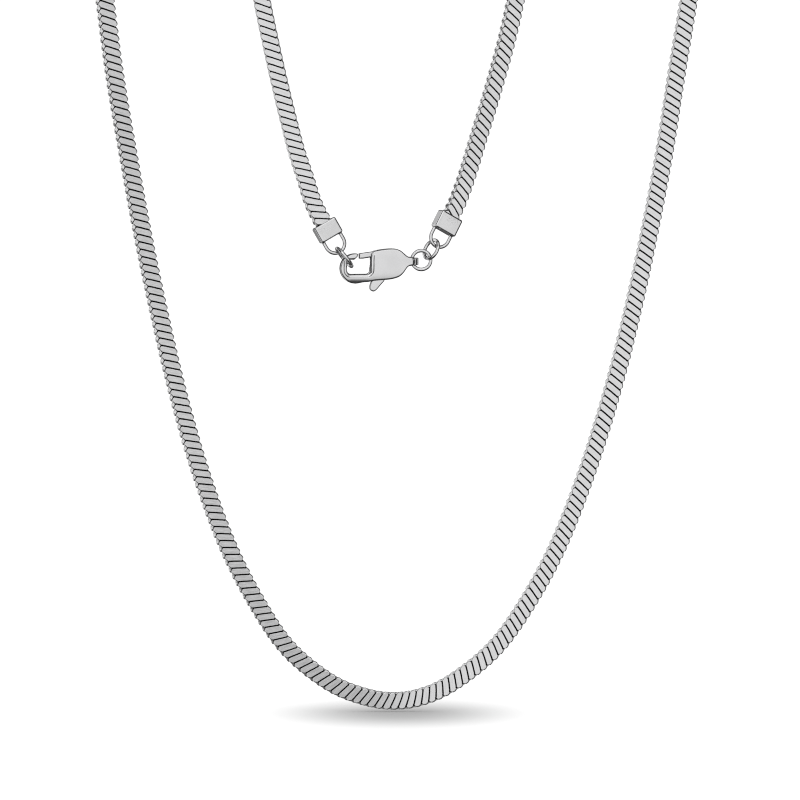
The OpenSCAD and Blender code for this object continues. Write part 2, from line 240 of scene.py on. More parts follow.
# How often the skin's points are drawn to the surface, the least slope squared that a draw takes, and a
# trifle that keeps a flat slope from having no way.
DRAWS = 4
LEAST_SLOPE = 0.2
TRIFLE = 1e-9

CHAIN_TONE = (0.66, 0.66, 0.665)
# The rings' inner walls are painted this dark as shade.
RECESS_SHADE_TONE = (0.06, 0.06, 0.06)
STEEL_TONE = (0.64, 0.64, 0.645)
STEEL_ROUGHNESS = 0.16
RECESS_ROUGHNESS = 0.6
# The rest of the drawn steel's surface scatters light.
CHAIN_METAL = 0.88
# How light the steel stays where it is seen edge on, drawn and polished.
EDGE_TINT = 0.3
DARK_EDGE_TINT = 0.1
# The part of the noise's range over which clouds go from one value to the other.
NOISE_RANGE = (0.3, 0.7)
# Clouds of noise: scale, detail, and the two values between which they go.
STREAKS = (1.6, 3.0, 0.88, 1.05)
FINE_STREAKS = (1.0, 2.0, 0.12, 0.22)
RECESS_GRAIN = (1500.0, 2.0, 0.7, 1.2)
STEEL_CLOUDS = (300.0, 1.0, 0.97, 1.03)
SCRATCHES = (450.0, 1.0, 0.14, 0.18)
# How much closer some of them lie along each way.
STREAK_TIMES = (0.35, 5.0, 1.0)
FINE_STREAK_TIMES = (0.6, 8.0, 1.0)
SCRATCH_TIMES = (1.0, 1.0, 0.4)

# Camera: 4 degrees above the level, far away, as in the photo.
CAMERA_AIM = (0.00065, -0.013, -0.0959)
CAMERA_FAR = 1.4
CAMERA_DOWN = math.radians(4)
CAMERA_CLIP = (0.1, 50)
SEEN_WIDTH = 0.15
SENSOR = 36
FILTER_WIDTH = 1.1

# Floor just under the chain, with a soft shadow painted into its glow where the chain comes near it.
FLOOR_Z = -0.1546
FLOOR_HALF = 0.6
FLOOR_TONE = 1.0
FLOOR_GLOW = 0.85
FLOOR_BASE = 0.2
FLOOR_ROUGHNESS = 0.9
SHADE_MIDDLE = (0.0003, -0.0165, 0)
SHADE_REACH = (0.03, 0.033, 1)
SHADE_TONE = 0.3
# The share of its reach from which the shade gets paler.
SHADE_CORE = 0.05

# Light by direction: pale in front and below, dimmer a little above the level, soft boxes above and
# beside, dark at the sides, straight below and high behind.
LOW_LIGHT = 1.05
LEVEL_LIGHT = 0.6
SIDE_BOX_LIGHT = 1.28
TOP_BOX_LIGHT = 1.6
DARK_LIGHT = 0.06
SEEN_LIGHT = 1.1
# Where each of them begins and is full, in the parts x, y and z of a direction, and the share of the
# dark sides that is left high up.
LEVEL_Z = (0.02, 0.12)
LEFT_BOX_X, RIGHT_BOX_X, SIDE_BOX_Z = (-0.48, -0.6), (0.75, 0.8), (-0.25, -0.1)
TOP_BOX_Z, TOP_BOX_Y = (0.3, 0.5), (0.0, -0.2)
SIDES_Y, SIDES_Z, SIDES_HIGH = (0.58, 0.47), (0.75, 0.95), 0.75
BEHIND_Y, BEHIND_Z = (0.0, 0.2), (0.4, 0.6)
BELOW_Z = (-0.3, -0.75)
BACK_BOX_X, BACK_BOX_Y = (-0.3, -0.45), (0.15, 0.35)
# A soft box near the clasp: middle, half width, half height and light.
NEAR_BOX = (0.05, -0.33, 0.142)
NEAR_BOX_HALF = (0.15, 0.2)
NEAR_BOX_LIGHT = 1.05
# The soft light overhead: place, size, power and what it points at.
TOP_LIGHT_PLACE = (0, -0.3, 1.2)
TOP_LIGHT_SIZE = 1.2
TOP_LIGHT_POWER = 2
TOP_LIGHT_AIM = (0, 0, -0.09)


def unit(v):
    return v / np.linalg.norm(v, axis=-1, keepdims=True)


def ease(value, start, end):
    """Goes smoothly from 0 to 1 as value goes from start to end."""
    share = np.clip((value - start) / (end - start), 0, 1)
    return share * share * (3 - 2 * share)


def closed_quads(index):
    """Quads over a net of point numbers that closes on itself along its last two axes."""
    ahead = np.roll(index, -1, axis=-2)
    corners = [index, ahead, np.roll(ahead, -1, axis=-1), np.roll(index, -1, axis=-1)]
    return np.stack(corners, axis=-1).reshape(-1, 4)


def add_piece(name, node, body, points, ways, quads, materials):
    """A smooth piece that rides a body, in place of a node of the CAD."""
    mesh = bpy.data.meshes.new(name)
    mesh.from_pydata(points, [], quads)
    mesh.polygons.foreach_set("use_smooth", np.ones(len(mesh.polygons), dtype=bool))
    mesh.normals_split_custom_set_from_vertices(ways)
    for material in materials:
        mesh.materials.append(material)
    piece = bpy.data.objects.new(name, mesh)
    bpy.context.collection.objects.link(piece)
    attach(piece, body)
    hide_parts(node)
    return piece


def strand(rows, y):
    return [(x, y - lean, z, roll) for x, lean, z, roll in rows]


def over_bar(back, front):
    """Rows of an arch from the back of the bar to its front."""
    rows = []
    for turn in np.linspace(0, math.pi, ARCH_STEPS + 1):
        share = (1 - math.cos(turn)) / 2
        rows.append((
            back[0] + (front[0] - back[0]) * share,
            BAR_R * math.cos(turn),
            BAR_Z + BAR_R * math.sin(turn),
            back[1] + (front[1] - back[1]) * turn / math.pi,
        ))
    return rows


class Line:
    """The chain's middle line: place, way across, way out of the face and way of travel at a length."""

    def __init__(self, rows, fine=40):
        rows = np.array(rows)
        rows = np.vstack([2 * rows[0] - rows[1], rows, 2 * rows[-1] - rows[-2]])
        a, b, c, d = (rows[i:len(rows) - 3 + i, None, :] for i in range(4))
        u = np.linspace(0, 1, fine, endpoint=False)[None, :, None]
        square, cube = 2 * a - 5 * b + 4 * c - d, 3 * b - a - 3 * c + d
        at = b + (c - a) * u / 2 + square * u ** 2 / 2 + cube * u ** 3 / 2
        slope = (c - a) / 2 + square * u + cube * u ** 2 * 1.5
        at = np.vstack([at.reshape(-1, 4), rows[-2]])
        slope = np.vstack([slope.reshape(-1, 4), (rows[-1] - rows[-3]) / 2])
        self.place = at[:, :3]
        steps = np.linalg.norm(np.diff(self.place, axis=0), axis=1)
        self.length = np.concatenate([[0], np.cumsum(steps)])
        self.row_length = self.length[::fine]
        travel = unit(slope[:, :3])
        out = np.stack([0 * at[:, 0], at[:, 1], np.maximum(0, at[:, 2] - BAR_Z)], axis=1)
        out = unit(out - np.sum(out * travel, axis=1, keepdims=True) * travel)
        roll = np.radians(at[:, 3:4])
        self.travel = travel
        self.face = out * np.cos(roll) + np.cross(travel, out) * np.sin(roll)
        self.across = np.cross(self.face, travel)

    def at(self, s):
        """Place, across, face and travel at the lengths s, an array of any shape."""
        def pick(table):
            return np.stack([np.interp(s, self.length, table[:, k]) for k in range(3)], axis=-1)
        return pick(self.place), pick(self.across), pick(self.face), pick(self.travel)


def gap_lengths():
    """Lengths along the chain of all the gaps, from those that are given."""
    lengths, numbers = np.array(GAP_PLACES).T
    spacing = np.diff(lengths) / np.diff(numbers)
    first = lengths[0] + spacing[0] * (FIRST_GAP - numbers[0])
    last = lengths[-1] + spacing[-1] * (LAST_GAP - numbers[-1])
    lengths = np.concatenate([[first], lengths, [last]])
    numbers = np.concatenate([[FIRST_GAP], numbers, [LAST_GAP]])
    return np.interp(np.arange(FIRST_GAP, LAST_GAP + 1), numbers, lengths)


def quarter(half_w, half_t, corner_w, corner_t, waist, corner_steps=5, face_steps=5, side_steps=4):
    """Points and outward ways from the middle of a ring's short side to near the middle of a long one.

    The short side dips inward by the waist.
    """
    flat_w, flat_t = half_w - corner_w, half_t - corner_t
    rows = []
    for q in np.arange(side_steps // 2) / (side_steps / 2):
        dip = waist * math.cos(math.pi / 2 * q) ** 2
        rows.append((half_w - dip, flat_t * q, flat_t, -waist * math.pi / 2 * math.sin(math.pi * q)))
    for t in np.linspace(0, math.pi / 2, corner_steps + 1):
        c, s = math.cos(t), math.sin(t)
        rows.append((flat_w + corner_w * c, flat_t + corner_t * s, c * corner_t, s * corner_w))
    for k in range(1, (face_steps + 1) // 2):
        rows.append((flat_w * (1 - 2 * k / face_steps), half_t, 0, 1))
    return np.array(rows)


def section(crease):
    """Points and outward ways round a ring. The crease's sign gives the side with the sharper corners."""
    widths = (CORNER_W, CREASE_W)[::-crease]
    right, left = (quarter(CHAIN_W / 2, CHAIN_T / 2, width, CORNER_T, WAIST) for width in widths)
    upper = np.vstack([right, left[::-1] * (-1, 1, -1, 1)])
    rows = np.vstack([upper, upper[-2:0:-1] * (1, -1, 1, -1)])
    return np.hstack([rows[:, :2], unit(rows[:, 2:])])


def corner_fall(share):
    """Depth of a corner under its widest place, at a share of half the band."""
    near = np.clip((WIDEST - share) / (1 + WIDEST), 0, 1) ** NEAR_POWER
    far = np.clip((share - WIDEST) / (1 - WIDEST), 0, 1) ** FAR_POWER
    return FALL * (near + far)


def inward_fall(shape):
    """How far each point falls inward along the band, and its share of the way out to the corners."""
    x, y = shape[:, 0] / (CHAIN_W / 2), shape[:, 1] / (CHAIN_T / 2)
    # Two of the ring's corners are widest towards one end of the band, the other two towards the other.
    hand = np.clip(HAND_CHANGE * x * y, -1, 1)[:, None]
    fall = (1 + hand) / 2 * corner_fall(WALL_SHARE) + (1 - hand) / 2 * corner_fall(-WALL_SHARE)
    fall = fall * (MIDDLE_FALL + (1 - MIDDLE_FALL) * abs(hand))
    reached = np.clip((abs(shape[:, 0:1]) - FALL_FROM) / (CHAIN_W / 2 - CORNER_W - FALL_FROM), 0, 1)
    return fall * reached ** 2 * (3 - 2 * reached), reached


def saddles(centres):
    """How strongly the rings at these lengths are bent."""
    back = np.interp(centres, line.length, line.place[:, 1])
    front = np.clip(0.5 - back / (2 * BAR_R), 0, 1)
    return SADDLE_BACK + (SADDLE_FRONT - SADDLE_BACK) * front


def slants(shape):
    """The bend of each point round a ring, to be multiplied by how strongly the ring is bent."""
    x = shape[:, 0] / (CHAIN_W / 2)
    return shape[:, 0] * (1 + SLANT_EASE / 2 - SLANT_EASE * x ** 2) * shape[:, 1]


def beside(values):
    """The next values round the ring less those before."""
    return np.roll(values, -1, axis=0) - np.roll(values, 1, axis=0)


def ring_points(shape, fall, reached, place, across, face):
    """Points of the rings' walls: ring by ring, round each ring, and round its wall."""
    sideness = abs(shape[:, 2:3])
    depth = np.where(OUTER, WALL_DEPTH * (1 - sideness), WALL_DEPTH)
    inward = np.sign(shape[:, 0:1]) * np.where(OUTER, fall, np.maximum(fall, INNER_FALL * reached))
    u = (shape[:, 0:1] - inward - depth * shape[:, 2:3])[None, :, :, None]
    v = (shape[:, 1:2] - depth * shape[:, 3:4])[None, :, :, None]
    return place + across * u + face * v


def ring_ways(shape, fall, half_band, twist, across, face, travel):
    """Outward ways of the walls, from how their depth changes along the chain and round the ring."""
    sideness = abs(shape[:, 2:3])
    step = np.linalg.norm(beside(shape[:, :2]), axis=1)[:, None]
    rise = np.zeros_like(fall)
    rise[:, OUTER] = np.gradient(fall[:, OUTER], WALL_SHARE[OUTER], axis=1) / half_band
    skew = twist[:, :, None] / step
    turn = sideness * (beside(fall) / step - rise * skew)
    rise = rise * sideness
    way_x, way_y = (shape[:, k][None, :, None, None] for k in (2, 3))
    out = across * way_x + face * way_y
    round_way = face * way_x - across * way_y
    edge_way = unit(travel - round_way * skew[..., None])
    out = unit(out + rise[None, :, :, None] * travel + np.where(OUTER, turn, 0)[..., None] * round_way)
    angle = np.radians(WALL_TURN)[:, None]
    return out * np.cos(angle) + edge_way * np.sin(angle)


def ring_map(shape, along):
    """The streaks' map, round the ring and along the chain in millimetres. It jumps from ring to ring."""
    grid = (len(along), len(shape), len(WALL))
    sides = np.linalg.norm(np.diff(shape[:, :2], axis=0), axis=1)
    reach = np.concatenate([[0], np.cumsum(sides)]) / MM
    full = reach[-1] + np.linalg.norm(shape[0, :2] - shape[-1, :2]) / MM
    jump = np.arange(len(along))[:, None, None] * MAP_JUMP
    a0 = np.broadcast_to(reach[None, :, None], grid)
    a1 = np.broadcast_to(np.append(reach[1:], full)[None, :, None], grid)
    w0 = np.broadcast_to(along / MM + jump, grid)
    w1 = np.roll(w0, -1, axis=2)
    corners = [np.stack(pair, -1) for pair in ((a0, w0), (a1, w0), (a1, w1), (a0, w1))]
    return np.stack(corners, axis=-2).reshape(-1)


def chain_half(name, node, gaps, crease):
    """The rings of one half of the chain as one mesh. There is a ring between each gap and the next."""
    centres = (gaps[1:] + gaps[:-1]) / 2
    half_bands = (gaps[1:] - gaps[:-1] - GAP) / 2
    shape = section(crease)
    fall, reached = inward_fall(shape)
    saddle, slant = saddles(centres)[:, None], slants(shape)
    along = WALL_SHARE * half_bands[:, None, None]
    s = centres[:, None, None] + (saddle * slant)[:, :, None] + along
    place, across, face, travel = line.at(s)
    points = ring_points(shape, fall, reached, place, across, face)
    ways = ring_ways(shape, fall, half_bands.mean(), saddle * beside(slant), across, face, travel)
    index = np.arange(points[..., 0].size).reshape(points.shape[:3])
    piece = add_piece(name, node, "necklace", points.reshape(-1, 3), ways.reshape(-1, 3),
                      closed_quads(index), (chain_steel(), recess_painted_shade()))
    # The quads inside the chain get the painted shade.
    inner = np.broadcast_to(np.arange(len(WALL)) >= INNER_WALL, index.shape).astype(np.int32)
    piece.data.polygons.foreach_set("material_index", inner.reshape(-1))
    layer = piece.data.uv_layers.new(name="ring")
    layer.data.foreach_set("uv", ring_map(shape, along))


def softer(a, b, blend):
    """The smaller of two distances, with the two shapes melted together over the blend."""
    share = np.clip(0.5 + 0.5 * (b - a) / blend, 0, 1)
    return b + (a - b) * share - blend * share * (1 - share)


def without(a, b, blend=CUT_EDGE):
    """The first shape less the second, with the new edge softened."""
    return -softer(-a, b, blend)


def rounded_edge(a, b, radius):
    """What two surfaces at right angles enclose, with a round edge between them."""
    a, b = a + radius, b + radius
    return np.hypot(np.maximum(a, 0), np.maximum(b, 0)) + np.minimum(np.maximum(a, b), 0) - radius


def plan(rows, x, z):
    """Distance from a closed outline in the XZ plane, negative inside it."""
    x, z = np.broadcast_arrays(x, z)
    near = np.full(x.shape, np.inf)
    inside = np.zeros(x.shape, dtype=bool)
    for (ax, az), (bx, bz) in zip(rows, np.roll(rows, -1, axis=0)):
        along_x, along_z = bx - ax, bz - az
        share = np.clip(((x - ax) * along_x + (z - az) * along_z) / (along_x ** 2 + along_z ** 2), 0, 1)
        near = np.minimum(near, (x - ax - share * along_x) ** 2 + (z - az - share * along_z) ** 2)
        if az != bz:
            inside ^= ((az > z) != (bz > z)) & (x < ax + (z - az) * along_x / along_z)
    return np.where(inside, -1, 1) * np.sqrt(near)


def cut_corners(rows, times):
    """The outline with each corner cut off twice as finely each time."""
    rows = np.array(rows, dtype=float)
    for _ in range(times):
        ahead = np.roll(rows, -1, axis=0)
        start = (1 - CORNER_CUT) * rows + CORNER_CUT * ahead
        end = CORNER_CUT * rows + (1 - CORNER_CUT) * ahead
        rows = np.stack([start, end], axis=1).reshape(-1, 2)
    return rows


def slope_of(shape, points, step=0.01):
    """Value and slope of a shape's distance at each point."""
    x, y, z = points.T
    slope = np.stack([
        shape(x + step, y, z) - shape(x - step, y, z),
        shape(x, y + step, z) - shape(x, y - step, z),
        shape(x, y, z + step) - shape(x, y, z - step),
    ], axis=1) / (2 * step)
    return shape(x, y, z), slope


def sign_changes(field):
    """For each axis, where the field changes its sign along a grid edge, and the share of the edge there."""
    for axis in range(3):
        a, b = np.delete(field, -1, axis), np.delete(field, 0, axis)
        change = (a < 0) != (b < 0)
        yield axis, a < 0, change, np.where(change, a / np.where(change, a - b, 1), 0)


def cell_points(field, low, cell):
    """A point in each cell that the surface crosses, and the points' numbers over the cells."""
    cells = np.array(field.shape) - 1
    total, count = np.zeros((*cells, 3)), np.zeros(cells)
    for axis, _, change, share in sign_changes(field):
        u, v = (axis + 1) % 3, (axis + 2) % 3
        for i, j in ((0, 0), (0, 1), (1, 0), (1, 1)):
            cut = [slice(None)] * 3
            cut[u], cut[v] = slice(i, i + cells[u]), slice(j, j + cells[v])
            there = change[tuple(cut)]
            count += there
            total[..., axis] += share[tuple(cut)]
            total[..., u] += there * i
            total[..., v] += there * j
    used = count > 0
    points = np.array(low) + cell * (np.argwhere(used) + total[used] / count[used][:, None])
    number = np.full(cells, -1)
    number[used] = np.arange(len(points))
    return points, number


def cell_quads(field, number):
    """A quad round each grid edge that the surface crosses, facing outward."""
    cells = number.shape
    quads = []
    for axis, inner, change, _ in sign_changes(field):
        u, v = (axis + 1) % 3, (axis + 2) % 3
        at = np.argwhere(change)
        at = at[(at[:, u] > 0) & (at[:, u] < cells[u]) & (at[:, v] > 0) & (at[:, v] < cells[v])]
        step_u, step_v = np.eye(3, dtype=int)[u], np.eye(3, dtype=int)[v]
        round_edge = (at - step_u - step_v, at - step_v, at, at - step_u)
        ring = np.stack([number[tuple(c.T)] for c in round_edge], axis=1)
        quads.append(np.where(inner[tuple(at.T)][:, None], ring, ring[:, ::-1]))
    return np.vstack(quads)


def skin(shape, low, high, cell):
    """Points, outward ways and quads of the surface where a shape's distance is zero."""
    axes = [np.arange(a, b + cell, cell) for a, b in zip(low, high)]
    field = shape(*np.meshgrid(*axes, indexing="ij", sparse=True))
    points, number = cell_points(field, low, cell)
    for _ in range(DRAWS):
        value, slope = slope_of(shape, points)
        step = value / np.maximum(np.sum(slope ** 2, axis=1), LEAST_SLOPE)
        points = points - slope * np.clip(step, -cell / 2, cell / 2)[:, None]
    return points, unit(slope_of(shape, points)[1] + TRIFLE), cell_quads(field, number)


class Nodes:
    """Short ways to add nodes to a tree."""

    def __init__(self, tree):
        self.tree = tree

    def add(self, kind, **values):
        node = self.tree.nodes.new(kind)
        for key, value in values.items():
            setattr(node, key, value)
        return node

    def link(self, value, socket):
        if isinstance(value, (int, float, tuple)):
            socket.default_value = value
        else:
            self.tree.links.new(value, socket)

    def math(self, operation, a, b=0.0):
        node = self.add("ShaderNodeMath", operation=operation)
        self.link(a, node.inputs[0])
        self.link(b, node.inputs[1])
        return node.outputs[0]

    def both(self, a, b):
        """The two masks together."""
        return self.math("MULTIPLY", a, b)

    def ease(self, value, start, end, low=0.0, high=1.0):
        """Goes smoothly from low to high as value goes from start to end."""
        node = self.add("ShaderNodeMapRange", interpolation_type="SMOOTHSTEP")
        self.link(value, node.inputs["Value"])
        for name, number in (("From Min", start), ("From Max", end), ("To Min", low), ("To Max", high)):
            node.inputs[name].default_value = number
        return node.outputs["Result"]


def new_material(name):
    material = bpy.data.materials.new(name)
    material.use_nodes = True
    return material, material.node_tree.nodes, material.node_tree.links


def metal(name, colour, roughness, edge=1.0):
    """A steel, its shader and a kit to go on with. The edge value is how light it stays seen edge on."""
    material, nodes, _ = new_material(name)
    shader = nodes["Principled BSDF"]
    shader.inputs["Metallic"].default_value = 1
    shader.inputs["Roughness"].default_value = roughness
    shader.inputs["Base Color"].default_value = (*colour, 1)
    shader.inputs["Specular Tint"].default_value = (edge, edge, edge, 1)
    return material, shader, Nodes(material.node_tree)


def stretched(kit, coordinates, times):
    """The coordinates multiplied along each way."""
    grow = kit.add("ShaderNodeVectorMath", operation="MULTIPLY")
    kit.link(coordinates, grow.inputs[0])
    kit.link(times, grow.inputs[1])
    return grow.outputs[0]


def cloud(kit, place, scale, detail, low, high):
    """Noise between two values."""
    noise = kit.add("ShaderNodeTexNoise")
    kit.link(place, noise.inputs["Vector"])
    noise.inputs["Scale"].default_value = scale
    noise.inputs["Detail"].default_value = detail
    return kit.ease(noise.outputs["Fac"], *NOISE_RANGE, low, high)


def toned(kit, shader, colour, share):
    """Multiplies the shader's colour by a share that varies over the surface."""
    tint = kit.add("ShaderNodeVectorMath", operation="SCALE")
    kit.link(colour, tint.inputs[0])
    kit.link(share, tint.inputs["Scale"])
    kit.link(tint.outputs[0], shader.inputs["Base Color"])


@cache
def chain_steel():
    """Bright drawn steel with faint streaks round each ring."""
    material, shader, kit = metal("chain_steel", CHAIN_TONE, STEEL_ROUGHNESS, EDGE_TINT)
    shader.inputs["Metallic"].default_value = CHAIN_METAL
    place = kit.add("ShaderNodeUVMap", uv_map="ring").outputs[0]
    toned(kit, shader, CHAIN_TONE, cloud(kit, stretched(kit, place, STREAK_TIMES), *STREAKS))
    fine = cloud(kit, stretched(kit, place, FINE_STREAK_TIMES), *FINE_STREAKS)
    kit.link(fine, shader.inputs["Roughness"])
    return material


@cache
def recess_painted_shade():
    """The rings' inner walls, painted dark as shade, where little light comes."""
    material, shader, kit = metal("recess_painted_shade", RECESS_SHADE_TONE, RECESS_ROUGHNESS)
    place = kit.add("ShaderNodeTexCoord").outputs["Object"]
    toned(kit, shader, RECESS_SHADE_TONE, cloud(kit, place, *RECESS_GRAIN))
    return material


@cache
def polished_steel():
    """Polished steel with the faint clouds and fine scratches of wear."""
    material, shader, kit = metal("polished_steel", STEEL_TONE, STEEL_ROUGHNESS, DARK_EDGE_TINT)
    place = kit.add("ShaderNodeTexCoord").outputs["Object"]
    toned(kit, shader, STEEL_TONE, cloud(kit, place, *STEEL_CLOUDS))
    scratches = cloud(kit, stretched(kit, place, SCRATCH_TIMES), *SCRATCHES)
    kit.link(scratches, shader.inputs["Roughness"])
    return material


def side_of(base, v):
    """A place given in a base of one origin and three ways."""
    return base[0] + np.array(v, dtype=float) @ base[1]


def chain_end(index, way):
    """Base at an end of the chain: across its face, out of its face, out of the chain."""
    ways = np.stack([way * line.across[index], line.face[index], way * line.travel[index]])
    return line.place[index] / MM, ways


def leaning(lean, tilt, way):
    """Two ways in the plane of a ring: one that leans, and one across it."""
    along = np.array([math.cos(lean), 0, math.sin(lean)])
    across = np.array([-way * along[2] * math.cos(tilt), -math.sin(tilt), way * along[0] * math.cos(tilt)])
    return along, across


def box(x, y, z, middle, halves, radius):
    """Distance from a block with rounded edges."""
    parts = [np.abs(v - m) - h + radius for v, m, h in zip((x, y, z), middle, halves)]
    outer = np.sqrt(sum(np.maximum(p, 0) ** 2 for p in parts))
    return outer + np.minimum(np.maximum(np.maximum(parts[0], parts[1]), parts[2]), 0) - radius


def cap_shape(length):
    """An end cap, open towards the chain, with its soldered loop."""
    low, high = CAP_END - length - 1, CAP_END - CAP_END_WALL
    bend = CAP_END + LOOP_LEG

    def shape(x, y, z):
        block = box(x, y, z, (0, 0, CAP_END - length / 2), (CAP_W / 2, CAP_T / 2, length / 2), CAP_ROUND)
        halves = (POCKET_W / 2, POCKET_T / 2, (high - low) / 2)
        pocket = box(x, y, z, (0, 0, (low + high) / 2), halves, POCKET_ROUND)
        leg = np.hypot(np.hypot(np.abs(x) - LOOP_R, y), z - np.clip(z, CAP_END - CAP_END_WALL / 2, bend))
        arch = np.hypot(np.hypot(x, z - bend) - LOOP_R, y)
        wire = np.where(z < bend, leg, arch) - WIRE_R
        return softer(without(block, pocket), wire, SOLDER)
    return shape


def opening(x, z, top):
    """Distance from the hook's opening, up to a height, with round corners."""
    middle_x, middle_z = (OPENING_X + BODY_LEFT) / 2, (OPENING_Z + top) / 2
    a = np.abs(x - middle_x) - (BODY_LEFT - OPENING_X) / 2 + OPENING_CORNER
    b = np.abs(z - middle_z) - (top - OPENING_Z) / 2 + OPENING_CORNER
    return np.hypot(np.maximum(a, 0), np.maximum(b, 0)) + np.minimum(np.maximum(a, b), 0) - OPENING_CORNER


def bevel_fall(x, z, body):
    """How deep the bevel and its step lie under the clasp's face."""
    above = ease(z, *BODY_EDGE_Z) * ease(x, *BODY_EDGE_X)
    edge = above * -body + (1 - above) * opening(x, z, OPEN_TOP)
    room = np.clip(BEVEL_W - edge, -BEVEL_W, BEVEL_W)
    slope = BEVEL_SLOPE * (BEND_SHARE + (1 - BEND_SHARE) * ease(x, *BEND_X))
    fall = slope * (room + np.sqrt(room ** 2 + BEVEL_SOFT ** 2)) / 2 + STEP_H * ease(room, -STEP_W, 0)
    fall = fall * (1 - TOP_LESS * ease(z, *TOP_Z))
    nose = ease(z, *NOSE_Z) * (1 - ease(x, *NOSE_X))
    return fall * (1 - ease(x, *BEVEL_END_X)) * (1 - nose)


def clasp_faces(x, z, body):
    """Half the thickness of the clasp: domed, thinner at the hook, bevelled along the opening."""
    high, long = 2 * z / BODY_H - 1, np.clip(2 * x / BODY_L - 1, -1, 1)
    crown = np.where(high > 0, CROWN_UP, CROWN_DOWN) * high ** 2 + CROWN_LONG * long ** 2
    half = BAR_HALF + (BODY_HALF - BAR_HALF) * ease(x, *THICKENS) - crown
    bar = (1 - ease(z, *DOME_TOP_Z)) * ease(x, *DOME_FROM_X) * (1 - ease(x, *DOME_TO_X))
    half = half - BAR_DOME * bar * ((z - BAR_MIDDLE_Z) / BAR_HALF_H) ** 2
    return half - bevel_fall(x, z, body)


def hook_shape(x, z):
    """The hook's outline: its bend and bar, less the opening and what is cut off at its nose."""
    bend = np.hypot(x - HOOK_MIDDLE[0], z - HOOK_MIDDLE[1]) - HOOK_R
    whole = softer(bend, plan(BAR_OUTLINE, x, z), BAR_BLEND)
    hook = without(whole, opening(x, z, OPENING_Z + OPENING_H))
    return without(hook, plan(NOSE_CUT, x, z), NOSE_EDGE)


def body_shape(x, y, z):
    """The clasp's body with its hook and tail eye, and the slot for the lever."""
    body = plan(cut_corners(np.array(BODY_OUTLINE) * (BODY_L, BODY_H), 2), x, z)
    outline = softer(body, hook_shape(x, z), NECK_BLEND)
    block = rounded_edge(outline, np.abs(y) - clasp_faces(x, z, body), BODY_ROUND)
    from_eye, from_level = np.hypot(x - TAIL_EYE[0], y), np.abs(z - TAIL_EYE[1])
    eye = rounded_edge(from_eye - EYE_R, from_level - EYE_H / 2, EYE_ROUND)
    whole = softer(block, eye, EYE_BLEND)
    hole = np.maximum(from_eye - EYE_HOLE_R, from_level - EYE_H)
    slot = np.maximum(plan(np.array(SLOT_OUTLINE) * (BODY_L, BODY_H), x, z), np.abs(y) - SLOT_T / 2)
    from_pin = np.hypot(x - PIVOT[0], z - PIVOT[1])
    bore = np.maximum(from_pin - PIN_R - PIN_FIT, np.abs(y) - PIN_L / 2 - PIN_FIT)
    return without(without(without(whole, hole, EYE_HOLE_EDGE), slot), bore)


def lever_shape(x, y, z):
    """The flat lever: gate, hub and thumb tab, bored for its pin."""
    gate = plan(np.array(GATE_OUTLINE) * (BODY_L, BODY_H), x, z)
    thumb = plan(cut_corners(np.array(THUMB_OUTLINE) * (BODY_L, BODY_H), 2), x, z)
    hub = np.hypot(x - PIVOT[0], z - PIVOT[1])
    outline = softer(softer(gate, thumb, LEVER_BLEND), hub - HUB_R, LEVER_BLEND)
    return without(rounded_edge(outline, np.abs(y) - LEVER_T / 2, LEVER_ROUND), hub - PIN_R - PIN_GAP)


def put(name, node, base, points, ways, quads, body="necklace"):
    """A piece of polished steel from points and outward ways in a base, in millimetres."""
    add_piece(name, node, body, side_of(base, points) * MM, ways @ base[1], quads,
              (polished_steel(),))


def end_cap(name, node, base, length):
    low = (-CAP_W / 2 - CAP_MARGIN, -CAP_T / 2 - CAP_MARGIN, CAP_END - length - CAP_MARGIN)
    high = (CAP_W / 2 + CAP_MARGIN, CAP_T / 2 + CAP_MARGIN, LOOP_TIP + WIRE_R + CAP_MARGIN)
    put(name, node, base, *skin(cap_shape(length), low, high, CAP_CELL))


def jump_ring(name, node, middle, along, across, radius, around=96, about=24):
    """A ring of round wire in the plane of two ways."""
    a = unit(along)
    b = unit(across - np.dot(across, a) * a)
    u = np.linspace(0, 2 * math.pi, around, endpoint=False)[:, None]
    v = np.linspace(0, 2 * math.pi, about, endpoint=False)[None, :]
    ways = np.stack([np.cos(u) * np.cos(v), np.sin(u) * np.cos(v), np.sin(v) + 0 * u], axis=-1)
    centres = np.stack([np.cos(u) + 0 * v, np.sin(u) + 0 * v, 0 * u + 0 * v], axis=-1)
    ways, centres = ways.reshape(-1, 3), centres.reshape(-1, 3)
    points = centres * (radius - WIRE_R) + ways * WIRE_R
    quads = closed_quads(np.arange(around * about).reshape(around, about))
    put(name, node, (middle, np.stack([a, b, np.cross(a, b)])), points, ways, quads)


def clasp_base():
    """The clasp's origin and ways, and the hook ring's middle and ways. It hangs in the ring by its bend."""
    along, across = leaning(HOOK_RING_LEAN, HOOK_RING_TILT, 1)
    ring_middle = side_of(left_end, (0, 0, LOOP_TIP)) + along * (HOOK_RING_R - 3 * WIRE_R - HANG_GAP)
    c, s = math.cos(CLASP_YAW), math.sin(CLASP_YAW)
    ways = np.array([[c, s, 0], [-s, c, 0], [0, 0, 1]])
    hole = HOOK_RING_R - 2 * WIRE_R - HANG_GAP
    reach = math.sqrt(hole ** 2 - (HOOK_T / 2) ** 2) - HOOK_BAR / 2
    bar_r = HOOK_R - HOOK_BAR / 2
    seat = np.array([
        HOOK_MIDDLE[0] + bar_r * math.cos(SEAT_TURN), 0, HOOK_MIDDLE[1] + bar_r * math.sin(SEAT_TURN),
    ])
    return (ring_middle + along * reach - seat @ ways, ways), (ring_middle, along, across)


